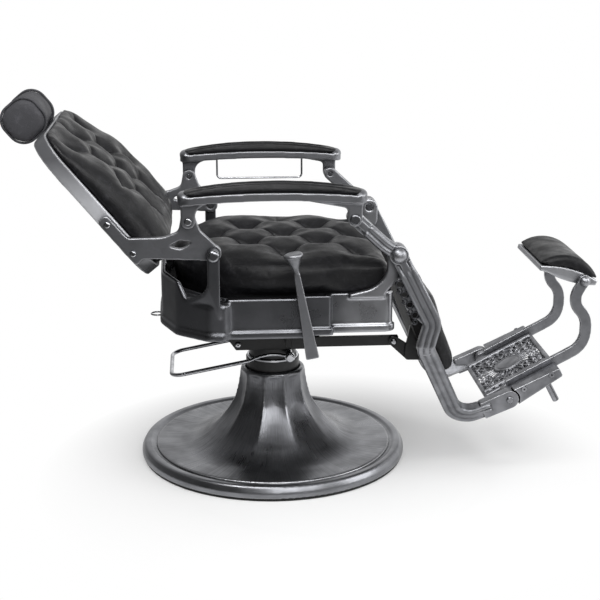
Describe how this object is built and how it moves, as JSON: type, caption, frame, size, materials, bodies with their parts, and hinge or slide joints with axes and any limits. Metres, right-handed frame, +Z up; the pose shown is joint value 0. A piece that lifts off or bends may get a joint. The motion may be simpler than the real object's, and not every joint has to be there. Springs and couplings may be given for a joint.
{
  "type": "barber chair",
  "caption": "Reclining barber chair with a cast frame, tufted black leather, hydraulic lift, swivel round stand, and a fold-up footrest with a calf pad.",
  "frame": {"origin": "on the floor at the middle of the round stand", "axes": "+X the way the sitter faces, +Y the sitter's left, +Z up; laid back and fully lowered, as in the picture"},
  "size_m": [1.4147, 0.6619, 0.9177],
  "materials": {
    "pewter": "antique silver casting, dark in the hollows and rubbed bright on the edges",
    "black_steel": "satin black paint",
    "bright_steel": "polished",
    "leather": "black, soft sheen",
    "plywood": "plywood, lacquered black",
    "bronze": "turned",
    "rubber": "matt"
  },
  "bodies": {
    "base": {"stand_casting": "pewter", "stand_rim": "pewter", "floor_gasket": "rubber", "floor_plate": "black_steel", "swivel_bush": "bronze", "thrust_washer": "bronze"},
    "pump": {"pump_cylinder": "black_steel", "pump_head": "black_steel", "collar_ring": "bright_steel"},
    "pump_lever": {"rocker_shaft": "bright_steel", "pump_lever": "bright_steel", "lever_caps": "bright_steel"},
    "seat": {"ram": "bright_steel", "ram_piston": "bright_steel", "channel": "black_steel", "channel_spacers": "bright_steel", "channel_bolts": "bright_steel", "seat_bearers": "plywood", "seat_frame": "pewter", "seat_board": "plywood", "seat_cushion": "leather", "frame_pins": "bright_steel", "strap_ring": "bright_steel", "lock_sleeve": "black_steel"},
    "back": {"back_rim": "pewter", "back_panel": "plywood", "back_cushion": "leather", "back_bracket_left": "pewter", "back_bracket_right": "pewter", "back_bolts": "bright_steel", "head_guide": "black_steel"},
    "headrest": {"head_post": "bright_steel", "head_cushion": "leather"},
    "left_armrest": {"armrest_left": "pewter", "armrest_pad_left": "leather", "towel_rail": "bright_steel"},
    "right_armrest": {"armrest_right": "pewter", "armrest_pad_right": "leather"},
    "leg_rest": {"leg_arm_left": "pewter", "leg_arm_right": "pewter", "calf_board": "plywood", "calf_cushion": "leather", "calf_spacers": "bright_steel", "leg_rest_pins": "bright_steel", "strut_bracket": "black_steel"},
    "lock_strut": {"lock_strut": "black_steel", "strut_link": "black_steel", "strut_bolt": "bright_steel"},
    "recline_lever": {"hand_shaft": "bright_steel", "shaft_collars": "bright_steel", "hand_lever": "pewter", "hand_knob": "pewter"},
    "footrest": {"foot_plate": "pewter", "foot_block_left": "pewter", "foot_block_right": "pewter", "foot_pegs": "bright_steel", "s_arms": "pewter", "footrest_bolts": "bright_steel"},
    "foot_pad": {"rest_shell": "pewter", "rest_cushion": "leather"}
  },
  "joints": [
    {"name": "swivel", "type": "hinge", "parent": "base", "child": "pump", "pos_m": [0, 0, 0], "axis": [0, 0, 1], "continuous": true},
    {"name": "pump_lever_swing", "type": "hinge", "parent": "pump", "child": "pump_lever", "pos_m": [0.037, 0, 0.2753], "axis": [0, 1, 0], "range_deg": [-18, 0], "stiffness_Nm_per_rad": 20, "springref_deg": 15},
    {"name": "seat_lift", "type": "slide", "parent": "pump", "child": "seat", "axis": [0, 0, 1], "range_m": [0, 0.15]},
    {"name": "recline", "type": "hinge", "parent": "seat", "child": "back", "pos_m": [-0.146, 0, 0.58], "axis": [0, 1, 0], "range_deg": [0, 30]},
    {"name": "headrest_slide", "type": "slide", "parent": "back", "child": "headrest", "axis": [-0.6361, 0, 0.7716], "range_m": [0, 0.08]},
    {"name": "left_armrest_pivot", "type": "hinge", "parent": "back", "child": "left_armrest", "pos_m": [-0.2, 0.285, 0.656], "axis": [0, 1, 0], "range_deg": [-34, 0]},
    {"name": "right_armrest_pivot", "type": "hinge", "parent": "back", "child": "right_armrest", "pos_m": [-0.2, -0.285, 0.656], "axis": [0, 1, 0], "range_deg": [-34, 0]},
    {"name": "leg_rest_swing", "type": "hinge", "parent": "seat", "child": "leg_rest", "pos_m": [0.27, 0, 0.571], "axis": [0, 1, 0], "range_deg": [0, 25]},
    {"name": "lock_strut_slide", "type": "slide", "parent": "seat", "child": "lock_strut", "axis": [1, 0, 0], "range_m": [-0.13, 0]},
    {"name": "recline_lever_swing", "type": "hinge", "parent": "seat", "child": "recline_lever", "pos_m": [0.071, 0, 0.358], "axis": [0, 1, 0], "range_deg": [-18, 0], "stiffness_Nm_per_rad": 8, "springref_deg": 12},
    {"name": "footrest_fold", "type": "hinge", "parent": "leg_rest", "child": "footrest", "pos_m": [0.563, 0, 0.181], "axis": [0, 1, 0], "range_deg": [-35, 0]},
    {"name": "foot_pad_tilt", "type": "hinge", "parent": "footrest", "child": "foot_pad", "pos_m": [0.74575, 0, 0.45968], "axis": [0, 1, 0], "range_deg": [-15, 15]}
  ],
  "couplings": [
    {"joint": "left_armrest_pivot", "follows": "recline", "ratio": -1.09},
    {"joint": "right_armrest_pivot", "follows": "recline", "ratio": -1.09},
    {"joint": "leg_rest_swing", "follows": "recline", "ratio": 0.818},
    {"joint": "lock_strut_slide", "follows": "recline", "m_per_rad": -0.2385}
  ]
}
